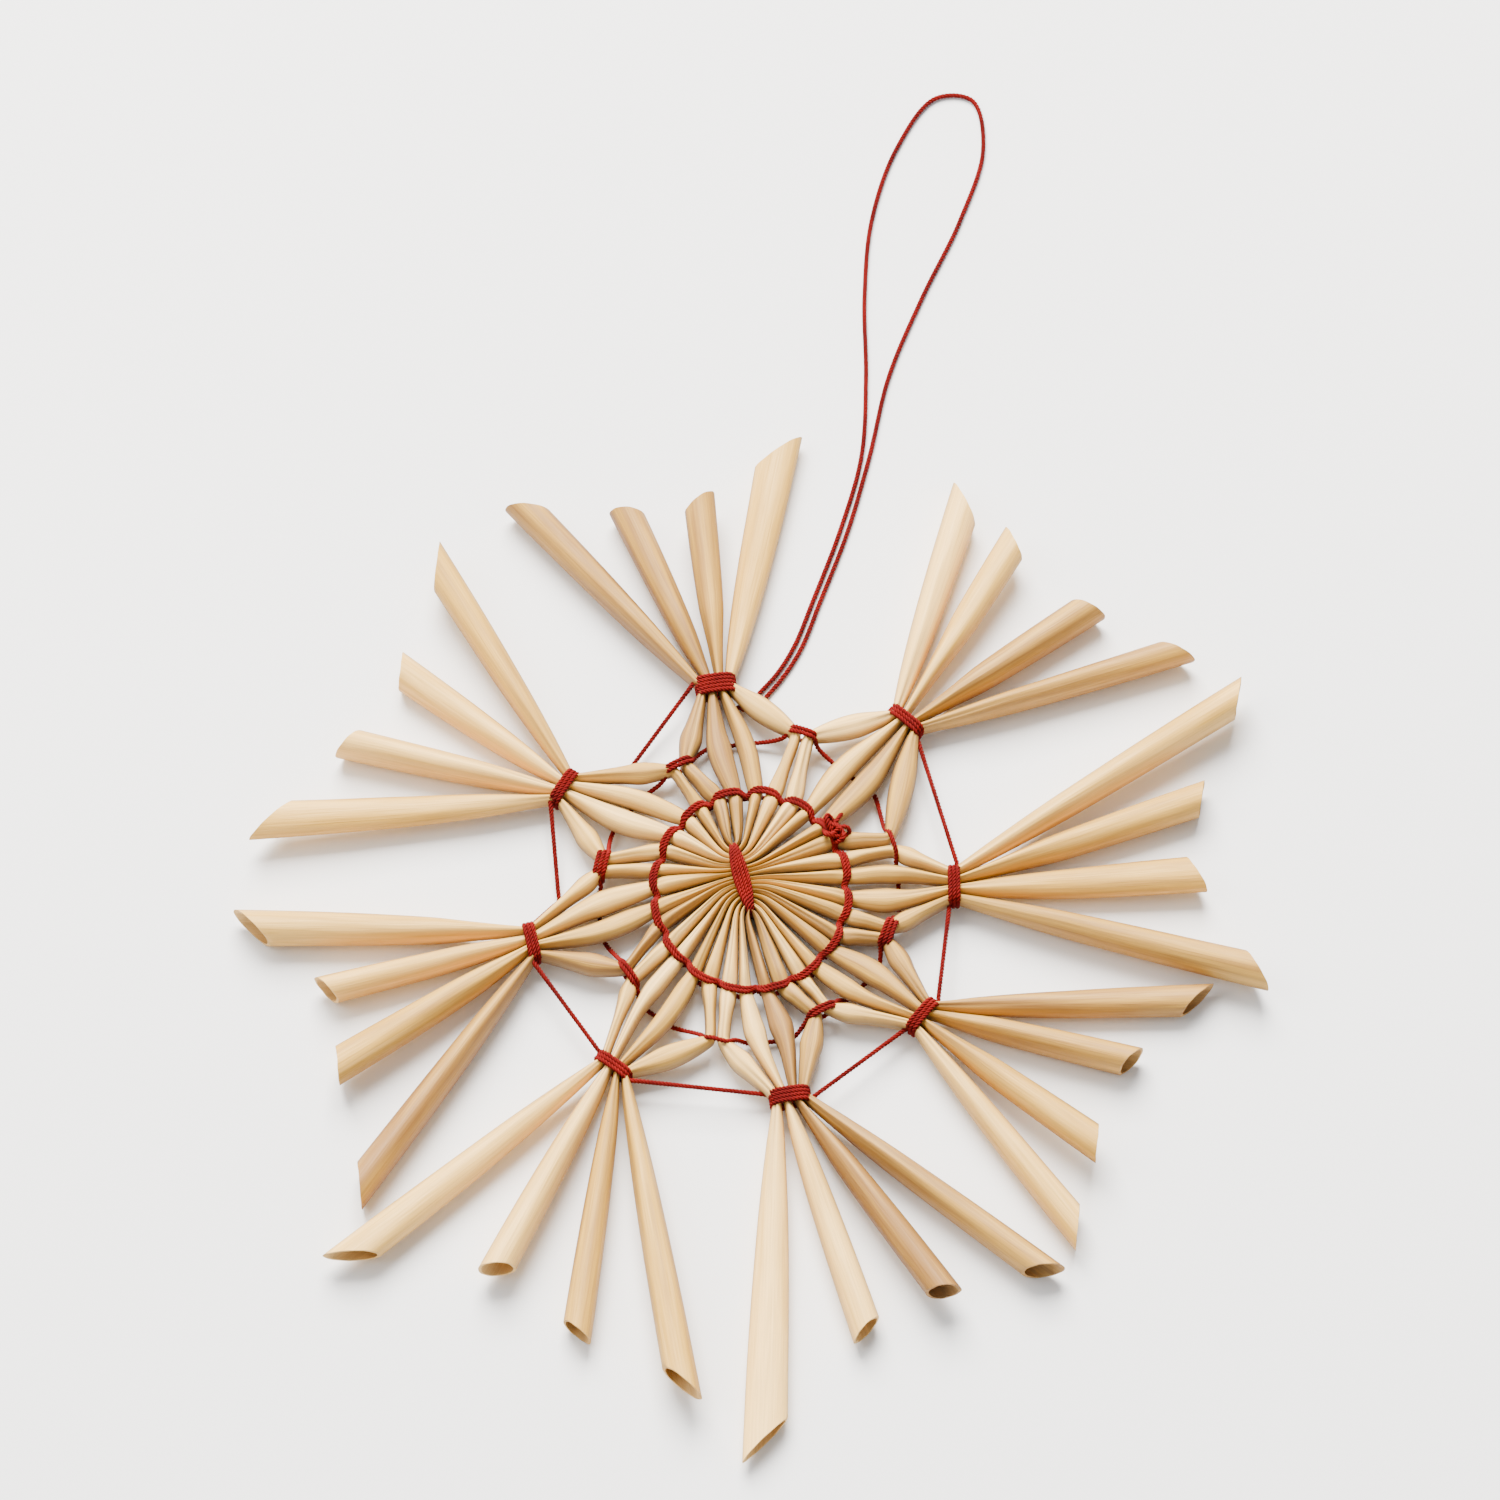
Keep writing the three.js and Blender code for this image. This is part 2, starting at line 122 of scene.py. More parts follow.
straw_diameter, straw_variation, straw_wall = 3.25, 0.3, 0.23
greatest_lift, greatest_height, tallest_mouth = 1.5, 4.75, 3.7
greatest_climb = 0.3  # how far a straw rides up on its neighbours inside the ring
bound_run = 1.2  # the straws are pressed together for this far from the middle
opening_share, rising_share, settling_share = 0.42, 0.4, 0.5  # of the run from a tie to a tip
cut_lead = 20  # degrees that a cut is steeper than the arm's own lean in its fan
mouth_shear = 6.5  # the slant of the cut dies away over this length
mouth_depth = 9
around = 40  # points round a straw
fine_run, fine_rings, coarse_rings = 4, 80, 40  # closely spaced to just past the tie, and then wider
bend_reach = 2.4  # how far each side the softening of a bend looks, in its own softness
unfolded_share = 0.86  # a straw this much of its full width or more has no folds

# How wide each arm's mouth is. A straw pressed wide is low, and one pinched narrow stands tall.
mouth_width = [
    3.0, 3.4, 3.0, 3.0,  2.5, 3.0, 2.9, 3.1,
    3.7, 2.9, 2.9, 2.9,  2.9, 3.1, 2.8, 3.4,
    3.2, 2.6, 3.2, 2.9,  3.3, 3.0, 2.7, 3.0,
    3.9, 2.9, 2.8, 2.7,  2.9, 3.0, 2.7, 2.9,
]

# How golden each arm is, from pale at 0 to golden at 1, as straw varies from its foot to its ear.
arm_tone = [
    0.65, 0.55, 0.55, 0.30,  0.75, 0.75, 0.30, 0.05,
    0.40, 0.75, 0.90, 0.85,  0.55, 0.25, 0.10, 0.35,
    0.35, 0.30, 0.50, 0.85,  0.25, 0.05, 0.60, 0.50,
    0.00, 0.05, 1.00, 0.75,  0.30, 0.60, 0.75, 0.85,
]

# Width, height and room to the neighbour where a straw is bound and where it swells, and how
# gently it bends there.
at_middle = (0.30, 2.0, 0.05, 0.5)
beside_middle = (0.36, 2.1, 0.04, 0.8)
swell_in_ring = (1.75, 2.5, 0.1, 0.9)
at_ring = (1.3, 1.5, 0.1, 0.4)
swell_outside = (2.3, 2.3, 0.30, 1.5)
in_pair = (0.96, 1.9, 0.04, 0.4)
in_tie = (0.72, 2.1, 0.03, 0.35)


def arm_stations(arm, straw, side):
    ring, tie, start = ring_place(arm), tie_place(arm), shoulder(straw, side)
    stations = [
        (in_bundle(straw, 0, 0), at_middle),
        (start, beside_middle),
        (start + 0.78 * (ring - start), swell_in_ring),
        (ring, at_ring),
    ]
    if arm % arms_per_fan in (0, arms_per_fan - 1):
        pair = pair_place(arm)
        stations += [
            ((ring + pair) / 2, swell_outside), (pair, in_pair), ((pair + tie) / 2, swell_outside),
        ]
    else:
        outward = (tie - ring) / np.linalg.norm(tie - ring)
        leftward = np.array([-outward[1], outward[0]])
        swell = ring + 0.45 * (tie - ring) + (-bow if arm % 2 else bow) * leftward
        stations.append((swell, swell_outside))
    stations.append((tie, in_tie))
    return stations


def ease(low, high, share):
    """From a pinch to a swell and back: steep where the thread holds, level where it is full."""
    turn = share * math.pi / 2
    return np.where(high >= low, low + (high - low) * np.sin(turn), high + (low - high) * np.cos(turn))


class Arm:
    """One arm, sampled from the middle of the binding to its tip."""

    def __init__(self, number, straw, side):
        self.number = number
        fan = fans[number // arms_per_fan]
        bearing, self.length = fan["arms"][number % arms_per_fan]
        self.diameter = straw_diameter + straw_variation * math.sin(2.6 * straw + 1)
        stations = arm_stations(number, straw, side)
        places = np.array([place for place, _ in stations])
        tip = places[-1] + polar(self.length, bearing)
        corners = np.vstack([places, tip])
        run = np.concatenate([[0], np.cumsum(np.linalg.norm(np.diff(corners, axis=0), axis=1))])
        self.tie_run, self.end_run = run[-2], run[-1]
        self.run = np.concatenate([
            np.linspace(0, self.tie_run + fine_run, fine_rings, endpoint=False),
            np.linspace(self.tie_run + fine_run, self.end_run, coarse_rings)])
        self.corners, self.corner_run = corners, run
        self.softness = np.array([size[3] for _, size in stations] + [0.3])
        sizes = np.array([size[:3] for _, size in stations])
        index = np.clip(np.searchsorted(run, self.run, side="right") - 1, 0, len(sizes) - 2)
        share = np.clip((self.run - run[index]) / (run[index + 1] - run[index]), 0, 1)
        width = ease(sizes[index, 0], sizes[index + 1, 0], share)
        height = ease(sizes[index, 1], sizes[index + 1, 1], share)
        self.room = sizes[index, 2] + (sizes[index + 1, 2] - sizes[index, 2]) * share
        inside = (index == 1) & (self.run < self.tie_run)
        width = np.where(inside, sizes[1, 0] + (sizes[2, 0] - sizes[1, 0]) * share, width)
        # Beyond its tie the straw opens out to its own round.
        beyond = np.clip((self.run - self.tie_run) / self.length, 0, 1)
        opened = (1 - np.exp(-beyond / opening_share)) / (1 - math.exp(-1 / opening_share))
        mouth_height = min(2 * self.diameter - mouth_width[number] - 0.1, tallest_mouth)
        open_width = in_tie[0] + (mouth_width[number] - in_tie[0]) * opened
        rise = np.clip(beyond / rising_share, 0, 1)
        open_height = in_tie[1] + (mouth_height - in_tie[1]) * rise * rise * (3 - 2 * rise)
        outside = self.run > self.tie_run
        self.width = np.where(outside, open_width, width)
        self.height = np.where(outside, open_height, height)
        self.room = np.where(outside, 0.04 + 0.3 * np.clip(beyond * 4, 0, 1), self.room)
        lift = max(0.0, greatest_lift * math.sin(2.2 * number + 0.5))
        lift = min(lift, greatest_height - mouth_height)
        settled = np.clip(beyond / settling_share, 0, 1)
        resting = mid_height + (mouth_height / 2 - mid_height) * settled
        # Inside the ring some straws ride up on their neighbours and some are crowded under.
        climb = greatest_climb * math.sin(2.3 * number + 0.7)
        within_ring = np.clip(self.run / run[3], 0, 1)
        self.level = resting + beyond * lift + climb * np.sin(math.pi * within_ring)
        axis = sum(arm_bearing for arm_bearing, _ in fan["arms"]) / arms_per_fan
        outward = -1 if number % arms_per_fan < arms_per_fan / 2 else 1
        self.slant = outward * math.tan(math.radians(abs(bearing - axis) + cut_lead))
        self.beyond = beyond


right_arm = {straw: Arm((10 - straw) % arm_count, straw, 1) for straw in range(straw_count)}
left_arm = {straw: Arm((11 + straw) % arm_count, straw, -1) for straw in range(straw_count)}
arms = sorted([*right_arm.values(), *left_arm.values()], key=lambda arm: arm.number)

# A straw bends softly: each place is the average of the run of straw about it.
for straw in range(straw_count):
    left, right = left_arm[straw], right_arm[straw]
    for arm, other in ((left, right), (right, left)):
        corner_run = np.concatenate([-other.corner_run[:0:-1], arm.corner_run])
        corners = np.vstack([other.corners[:0:-1], arm.corners])
        softness = np.interp(arm.run, arm.corner_run, arm.softness)
        softness = np.minimum(softness, (arm.end_run - arm.run) / 3)
        steps = np.linspace(-bend_reach, bend_reach, 17)
        weights = np.exp(-steps ** 2 / 2)
        spots = arm.run[:, None] + softness[:, None] * steps
        arm.at = np.stack([
            (np.interp(spots, corner_run, corners[:, k]) * weights).sum(1) / weights.sum()
            for k in (0, 1)], axis=1)

# It swells only as far as its neighbours leave it room, and the stouter straw takes more of it.
stoutness = [1 + 0.2 * math.sin(1.9 * number + 0.4) for number in range(arm_count)]
for arm in arms:
    others = [other for other in arms if other is not arm]
    crowd = np.vstack([other.at[other.run > bound_run] for other in others])
    rivals = np.concatenate([
        np.full((other.run > bound_run).sum(), stoutness[other.number]) for other in others])
    free = arm.run > bound_run
    claim = 2 * stoutness[arm.number] / (stoutness[arm.number] + rivals)
    gaps = (np.sqrt(((arm.at[free][:, None] - crowd[None]) ** 2).sum(2)) * claim).min(1)
    held = arm.width.copy()
    held[free] = np.minimum(arm.width[free], np.maximum(at_middle[0], gaps - arm.room[free]))
    padded = np.pad(held, 2, mode="edge")
    arm.width = np.convolve(padded, np.array([1, 2, 3, 2, 1]) / 9, mode="valid")

# The folds of a squeezed skin: how far round the straw each lies, in degrees, and its depth.
folds = ((95, 0.22), (48, 0.13), (138, 0.14), (250, 0.12))
fold_width = 0.24


def straw_rings(arm, wall=0.0, runs=None):
    """Rings of points about the arm, in millimetres, with their grain and painted shade for creases and
    crowded flanks.
    """
    runs = arm.run if runs is None else runs
    at = np.stack([np.interp(runs, arm.run, arm.at[:, k]) for k in (0, 1)], axis=1)
    width, height, level, beyond = (
        np.interp(runs, arm.run, values) for values in (arm.width, arm.height, arm.level, arm.beyond))
    before = np.stack([np.interp(runs - 0.4, arm.run, arm.at[:, k]) for k in (0, 1)], axis=1)
    after = np.stack([np.interp(runs + 0.4, arm.run, arm.at[:, k]) for k in (0, 1)], axis=1)
    heading = after - before
    heading /= np.linalg.norm(heading, axis=1)[:, None]
    leftward = np.stack([-heading[:, 1], heading[:, 0]], axis=1)
    turn = -math.pi / 2 + 2 * math.pi * np.arange(around) / around
    # Where it is squeezed its skin folds into a few creases that run lengthwise and fade out.
    squeeze = np.clip(1 - width / (unfolded_share * arm.diameter), 0, 1)
    grooves = np.zeros((len(runs), around))
    for k, (place, depth) in enumerate(folds):
        middle = math.radians(place + 17 * math.sin(3.7 * arm.number + 2.1 * k))
        apart = np.angle(np.exp(1j * (turn - middle)))
        strength = depth * (0.7 + 0.5 * math.sin(1.9 * arm.number + 4 * k))
        grooves += strength * squeeze[:, None] * np.exp(-(apart / fold_width) ** 2)[None]
    ripple = 0.012 * np.sin(3 * turn[None] + 0.23 * runs[:, None] + 5 * arm.number)
    swell = 1 - grooves + ripple * beyond[:, None]
    left = (width[:, None] / 2 * swell - wall) * np.cos(turn)
    up = (height[:, None] / 2 * swell - wall) * np.sin(turn)
    # The mouth is cut on the slant, with a slightly ragged edge.
    shear = np.clip(1 - (arm.end_run - runs) / mouth_shear, 0, 1) ** 1.4
    ragged = 0.03 * np.sin(3 * turn + arm.number) + 0.015 * np.sin(8 * turn + 2 * arm.number)
    forward = shear[:, None] * (arm.slant * left + ragged)
    plan = at[:, None] + leftward[:, None] * left[..., None] + heading[:, None] * forward[..., None]
    above_table = np.maximum(level[:, None] + up, 0.02)
    points = np.concatenate([plan, above_table[..., None]], axis=2)
    natural = arm.diameter / 2
    grain = np.stack([
        np.broadcast_to(natural * np.cos(turn), left.shape),
        np.broadcast_to(natural * np.sin(turn), left.shape),
        np.broadcast_to(runs[:, None], left.shape)], axis=2)
    # Painted shade darkens the creases of the folds, and the flanks that its neighbours crowd as far as
    # just past the tie.
    crowded_shade = np.clip(1 - (runs - arm.tie_run) / 3, 0, 1)[:, None] * np.abs(np.cos(turn)) ** 6
    return points, grain, np.clip(grooves * 3 + 0.8 * crowded_shade, 0, 1)


mouth_runs = np.array([0, 0.5, 1.6, 3.4, 6, mouth_depth])  # rings of the inner wall, from the cut in
grain_lane = 90  # how far apart the straws lie in the pattern of their grain
toning_run = 9  # from the middle, where both arms share a tone, to where each has its own


def reversed_round(rings):
    """The same rings of points taken round the straw the other way, from the same first point."""
    return np.roll(rings[:, ::-1], 1, axis=1)


def build_straw(straw):
    """Skin from tip to tip, then each mouth's cut edge, its inner wall and the dark end behind."""
    left, right = left_arm[straw], right_arm[straw]
    vertices, faces, pith = [], [], []
    grain, tone, crease_shade = [], [], []

    def add(points, grain_at, tones, crease_shades):
        start = sum(len(block) for block in vertices)
        vertices.append(points.reshape(-1, 3))
        grain.append(grain_at.reshape(-1, 3))
        tone.append(np.broadcast_to(tones, points.shape[:2]).reshape(-1))
        crease_shade.append(np.broadcast_to(crease_shades, points.shape[:2]).reshape(-1))
        return start

    def bridge(first, second, inner, flip):
        for i in range(around):
            j = (i + 1) % around
            quad = (first + i, first + j, second + j, second + i)
            faces.append(quad[::-1] if flip else quad)
            pith.append(inner)

    half = {}
    for arm, side in ((left, -1), (right, 1)):
        points, grain_at, groove_shade = straw_rings(arm)
        grain_at = grain_at * (side, 1, side) + (0, 0, grain_lane * straw)
        middle_tone = (arm_tone[left.number] + arm_tone[right.number]) / 2
        share = np.clip(arm.run / toning_run, 0, 1)
        tones = middle_tone + (arm_tone[arm.number] - middle_tone) * share
        if side < 0:
            points, grain_at, groove_shade = (reversed_round(part) for part in (points, grain_at, groove_shade))
        half[side] = (points, grain_at, tones, groove_shade)
    run_points, run_grain, run_tone, run_groove_shade = (
        np.concatenate([half[-1][k][:0:-1], half[1][k]]) for k in range(4))
    start = add(run_points, run_grain, run_tone[:, None], run_groove_shade)
    for ring in range(len(run_points) - 1):
        bridge(start + ring * around, start + (ring + 1) * around, 0, False)

    for arm, side in ((left, -1), (right, 1)):
        runs = arm.end_run - mouth_runs
        points, grain_at, _ = straw_rings(arm, straw_wall, runs)
        if side < 0:
            points, grain_at = reversed_round(points), reversed_round(grain_at)
        grain_at = grain_at * (side, 1, side) + (0, 0, grain_lane * straw)
        inner = add(points, grain_at, np.full((len(runs), 1), arm_tone[arm.number]), 0.0)
        edge = start if side < 0 else start + (len(run_points) - 1) * around
        bridge(edge, inner, 1, side < 0)
        for ring in range(len(runs) - 1):
            bridge(inner + ring * around, inner + (ring + 1) * around, 1, side < 0)
        last = inner + (len(runs) - 1) * around
        end = tuple(last + i for i in range(around))
        faces.append(end[::-1] if side < 0 else end)
        pith.append(1)

    name = f"rye_straw_{straw + 1:02d}"
    mesh = bpy.data.meshes.new(name)
    placed = (np.concatenate(vertices) + (*ring_centre, 0)) * mm
    mesh.from_pydata(placed.tolist(), [], faces)
    # The crease layer holds how strongly painted shade darkens each point, in creases and crowded flanks.
    for label, kind, values in (
        ("straw_grain", "FLOAT_VECTOR", np.concatenate(grain)),
        ("straw_tone", "FLOAT", np.concatenate(tone)),
        ("straw_crease_shade", "FLOAT", np.concatenate(crease_shade)),
    ):
        layer = mesh.attributes.new(label, kind, "POINT")
        layer.data.foreach_set("vector" if kind == "FLOAT_VECTOR" else "value", values.reshape(-1))
    mesh.materials.append(straw_skin)
    mesh.materials.append(straw_pith)
    mesh.polygons.foreach_set("material_index", pith)
    mesh.shade_smooth()
    mesh.set_sharp_from_angle(angle=math.radians(50))
    piece = bpy.data.objects.new(name, mesh)
    bpy.context.scene.collection.objects.link(piece)
    return piece


def wire(tree, kind, settings=None, **inputs):
    """A shader or geometry node with its settings, and its inputs linked or set."""
    node = tree.nodes.new(kind)
    for name, value in (settings or {}).items():
        setattr(node, name, value)
    for name, value in inputs.items():
        socket = node.inputs[int(name[1:])] if name[0] == "_" and name[1:].isdigit() else (
            node.inputs[name.replace("_", " ")])
        if isinstance(value, bpy.types.NodeSocket):
            tree.links.new(value, socket)
        else:
            socket.default_value = value
    return node


def stretched(tree, source, across, along):
    """The grain's own coordinates, drawn out along the straw."""
    return wire(tree, "ShaderNodeVectorMath", {"operation": "MULTIPLY"},
                _0=source, _1=(across, across, along)).outputs[0]


def fibre_group():
    """Lengthwise fibres of straw: a fine set, a broad set of streaks, and scattered dark flecks."""
    group = bpy.data.node_groups.new("Straw fibres", "ShaderNodeTree")
    for name, default in (("Fineness", 8.0), ("Streaks", 1.1)):
        socket = group.interface.new_socket(name, in_out="INPUT", socket_type="NodeSocketFloat")
        socket.default_value = default
    for name in ("Fibre", "Streak", "Fleck"):
        group.interface.new_socket(name, in_out="OUTPUT", socket_type="NodeSocketFloat")
    given = group.nodes.new("NodeGroupInput")
    grain = wire(group, "ShaderNodeAttribute", {"attribute_name": "straw_grain"}).outputs["Vector"]
    fine = stretched(group, grain, 1.0, 0.022)
    broad = stretched(group, grain, 1.0, 0.06)
    fibre = wire(group, "ShaderNodeTexNoise", Vector=fine, Scale=given.outputs["Fineness"],
                 Detail=4.0, Roughness=0.6)
    streak = wire(group, "ShaderNodeTexNoise", Vector=broad, Scale=given.outputs["Streaks"],
                  Detail=3.0, Roughness=0.55)
    dashes = stretched(group, grain, 1.0, 0.3)
    spots = wire(group, "ShaderNodeTexNoise", Vector=dashes, Scale=2.6, Detail=5.0, Roughness=0.7)
    fleck = wire(group, "ShaderNodeMapRange", {"clamp": True}, _0=spots.outputs["Fac"], _1=0.66, _2=0.78)
    out = group.nodes.new("NodeGroupOutput")
    for name, value in (("Fibre", fibre.outputs["Fac"]), ("Streak", streak.outputs["Fac"]),
                        ("Fleck", fleck.outputs[0])):
        group.links.new(value, out.inputs[name])
    return group


def blend(tree, share, first, second, kind="MIX"):
    node = wire(tree, "ShaderNodeMix", {"data_type": "RGBA", "blend_type": kind})
    for socket, value in ((node.inputs[0], share), (node.inputs[6], first), (node.inputs[7], second)):
        if isinstance(value, bpy.types.NodeSocket):
            tree.links.new(value, socket)
        else:
            socket.default_value = value
    return node.outputs[2]


def reckon(tree, operation, first, second, third=None):
    values = {"_0": first, "_1": second}
    if third is not None:
        values["_2"] = third
    return wire(tree, "ShaderNodeMath", {"operation": operation}, **values).outputs[0]


fibres = fibre_group()
# The last colour is the dark brown of the painted shade in creases and crowded flanks.
shade, fleck_brown, crease_shade_brown = (0.46, 0.40, 0.36, 1), (0.36, 0.21, 0.09, 1), (0.17, 0.115, 0.075, 1)


def straw_material(name, pale, middling, golden, roughness, relief, edge):
    """Dry straw: its tone runs from pale to golden, with streaks and flecks, painted shade in its creases
    and crowded flanks, and painted shade towards its outline as strong as edge says.
    """
    material = bpy.data.materials.new(name)
    material.use_nodes = True
    tree = material.node_tree
    surface = tree.nodes["Principled BSDF"]
    grain = tree.nodes.new("ShaderNodeGroup")
    grain.node_tree = fibres
    tone = wire(tree, "ShaderNodeAttribute", {"attribute_name": "straw_tone"}).outputs["Fac"]
    crease_shade = wire(tree, "ShaderNodeAttribute", {"attribute_name": "straw_crease_shade"}).outputs["Fac"]
    uneven = reckon(tree, "MULTIPLY_ADD", grain.outputs["Streak"], 1.1, -0.55)
    golden_share = reckon(tree, "ADD", tone, uneven)
    paler = wire(tree, "ShaderNodeMapRange", {"clamp": True}, _0=golden_share, _1=0.0, _2=0.5).outputs[0]
    deeper = wire(tree, "ShaderNodeMapRange", {"clamp": True}, _0=golden_share, _1=0.5, _2=1.0).outputs[0]
    colour = blend(tree, deeper, blend(tree, paler, pale, middling), golden)
    fibre_share = wire(tree, "ShaderNodeMapRange", {"clamp": True}, _0=grain.outputs["Fibre"],
                       _1=0.35, _2=0.7, _3=0.0, _4=0.34).outputs[0]
    colour = blend(tree, fibre_share, colour, shade, "MULTIPLY")
    fleck_share = reckon(tree, "MULTIPLY", grain.outputs["Fleck"], 0.35)
    colour = blend(tree, fleck_share, colour, fleck_brown)
    # Painted shade: creases and crowded flanks are mixed towards a dark brown.
    crease_shade_share = reckon(tree, "MULTIPLY", crease_shade, 0.8)
    colour = blend(tree, crease_shade_share, colour, crease_shade_brown)
    # Painted shade: where the straw is seen edge on, towards its outline, its colour is darkened.
    facing = wire(tree, "ShaderNodeLayerWeight", Blend=0.5).outputs["Facing"]
    edge_shade_share = wire(tree, "ShaderNodeMapRange", {"clamp": True, "interpolation_type": "SMOOTHSTEP"},
                      _0=facing, _1=0.35, _2=0.95, _3=0.0, _4=edge).outputs[0]
    colour = blend(tree, edge_shade_share, colour, shade, "MULTIPLY")
    tree.links.new(colour, surface.inputs["Base Color"])
    rough = wire(tree, "ShaderNodeMapRange", {"clamp": True}, _0=grain.outputs["Fibre"],
                 _1=0.3, _2=0.7, _3=roughness - 0.08, _4=roughness + 0.14).outputs[0]
    tree.links.new(rough, surface.inputs["Roughness"])
    height = reckon(tree, "ADD", reckon(tree, "MULTIPLY", grain.outputs["Streak"], 0.9),
                    grain.outputs["Fibre"])
    bump = wire(tree, "ShaderNodeBump", Strength=relief, Distance=0.06 * mm, Height=height)
    tree.links.new(bump.outputs[0], surface.inputs["Normal"])
    surface.inputs["Specular IOR Level"].default_value = 0.35
    return material


straw_skin = straw_material(
    "straw skin", (0.97, 0.62, 0.20, 1), (0.68, 0.385, 0.065, 1), (0.32, 0.155, 0.032, 1), 0.5, 0.75, 0.85)
straw_pith = straw_material(
    "straw pith", (0.78, 0.50, 0.19, 1), (0.58, 0.34, 0.11, 1), (0.34, 0.18, 0.06, 1), 0.8, 0.5, 0.0)

for straw in range(straw_count):
    piece = build_straw(straw)
    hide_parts(f"straw_{straw + 1:02d}")
    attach(piece, "root")

# ---- The binding round the middle ---------------------------------------------------------------
# A red cotton thread of three twisted plies, wound four times round the whole bundle of straws. Its
# turns lie side by side on top and draw together where they dive between the end straws.

thread_radius = 0.2
plies, ply_radius, ply_sides = 3, 0.13, 6
twist_length, thread_step = 1.0, 0.13


def thread_tree():
    """Twisted thread along curves: small round plies about the line, turning as they go."""
    tree = bpy.data.node_groups.new("Twisted thread", "GeometryNodeTree")
    face = tree.interface
    face.new_socket("Line", in_out="INPUT", socket_type="NodeSocketGeometry")
    sizes = {}
    for name, kind, default in (
        ("Ply radius", "NodeSocketFloat", 0.1 * mm), ("Plies", "NodeSocketInt", 3),
        ("Twist length", "NodeSocketFloat", 1.0 * mm), ("Step", "NodeSocketFloat", 0.15 * mm),
        ("Sides", "NodeSocketInt", 6),
    ):
        socket = face.new_socket(name, in_out="INPUT", socket_type=kind)
        socket.default_value = default
        sizes[name] = socket.identifier
    sizes["Material"] = face.new_socket(
        "Material", in_out="INPUT", socket_type="NodeSocketMaterial").identifier
    face.new_socket("Thread", in_out="OUTPUT", socket_type="NodeSocketGeometry")
    given = tree.nodes.new("NodeGroupInput")
    stepped = wire(tree, "GeometryNodeResampleCurve", {"mode": "LENGTH"},
                   Curve=given.outputs["Line"], Length=given.outputs["Step"])
    along = tree.nodes.new("GeometryNodeSplineParameter").outputs["Length"]
    turns = wire(tree, "ShaderNodeMath", {"operation": "DIVIDE"},
                 _0=along, _1=given.outputs["Twist length"]).outputs[0]
    angle = wire(tree, "ShaderNodeMath", {"operation": "MULTIPLY"}, _0=turns, _1=2 * math.pi).outputs[0]
    tilted = wire(tree, "GeometryNodeSetCurveTilt", Curve=stepped.outputs[0], Tilt=angle)
    marked = wire(tree, "GeometryNodeStoreNamedAttribute", {"data_type": "FLOAT", "domain": "POINT"},
                  Geometry=tilted.outputs[0], Name="thread_run", Value=turns)
    centres = wire(tree, "GeometryNodeCurvePrimitiveCircle", {"mode": "RADIUS"},
                   Resolution=given.outputs["Plies"])
    reach = wire(tree, "ShaderNodeMath", {"operation": "MULTIPLY"},
                 _0=given.outputs["Ply radius"], _1=0.86).outputs[0]
    tree.links.new(reach, centres.inputs["Radius"])
    ply = wire(tree, "GeometryNodeCurvePrimitiveCircle", {"mode": "RADIUS"},
               Resolution=given.outputs["Sides"])
    tree.links.new(given.outputs["Ply radius"], ply.inputs["Radius"])
    bundle = wire(tree, "GeometryNodeInstanceOnPoints", Points=centres.outputs[0], Instance=ply.outputs[0])
    outline = wire(tree, "GeometryNodeRealizeInstances", Geometry=bundle.outputs[0])
    spun = wire(tree, "GeometryNodeCurveToMesh", Curve=marked.outputs[0], _1=outline.outputs[0])
    spun.inputs["Fill Caps"].default_value = True
    smooth = wire(tree, "GeometryNodeSetShadeSmooth", Geometry=spun.outputs[0])
    solid = wire(tree, "GeometryNodeRealizeInstances", Geometry=smooth.outputs[0])
    dyed = wire(tree, "GeometryNodeSetMaterial", Geometry=solid.outputs[0],
                Material=given.outputs["Material"])
    out = tree.nodes.new("NodeGroupOutput")
    tree.links.new(dyed.outputs[0], out.inputs[0])
    return tree, sizes


def smooth_run(points, step=0.12):
    """One smooth curve through the points, sampled closely."""
    points = np.array(points, float)
    ends = np.vstack([2 * points[0] - points[1], points, 2 * points[-1] - points[-2]])
    line = []
    for i in range(1, len(ends) - 2):
        p0, p1, p2, p3 = ends[i - 1:i + 3]
        knots = [0.0]
        for a, b in ((p0, p1), (p1, p2), (p2, p3)):
            knots.append(knots[-1] + max(1e-6, np.linalg.norm(b - a)) ** 0.5)
        k0, k1, k2, k3 = knots
        count = max(2, int(np.linalg.norm(p2 - p1) / step))
        t = np.linspace(k1, k2, count, endpoint=False)[:, None]
        a1 = (k1 - t) / (k1 - k0) * p0 + (t - k0) / (k1 - k0) * p1
        a2 = (k2 - t) / (k2 - k1) * p1 + (t - k1) / (k2 - k1) * p2
        a3 = (k3 - t) / (k3 - k2) * p2 + (t - k2) / (k3 - k2) * p3
        b1 = (k2 - t) / (k2 - k0) * a1 + (t - k0) / (k2 - k0) * a2
        b2 = (k3 - t) / (k3 - k1) * a2 + (t - k1) / (k3 - k1) * a3
        line.append((k2 - t) / (k2 - k1) * b1 + (t - k1) / (k2 - k1) * b2)
    line.append(points[-1:])
    return np.vstack(line)


twisted_thread, thread_sizes = thread_tree()


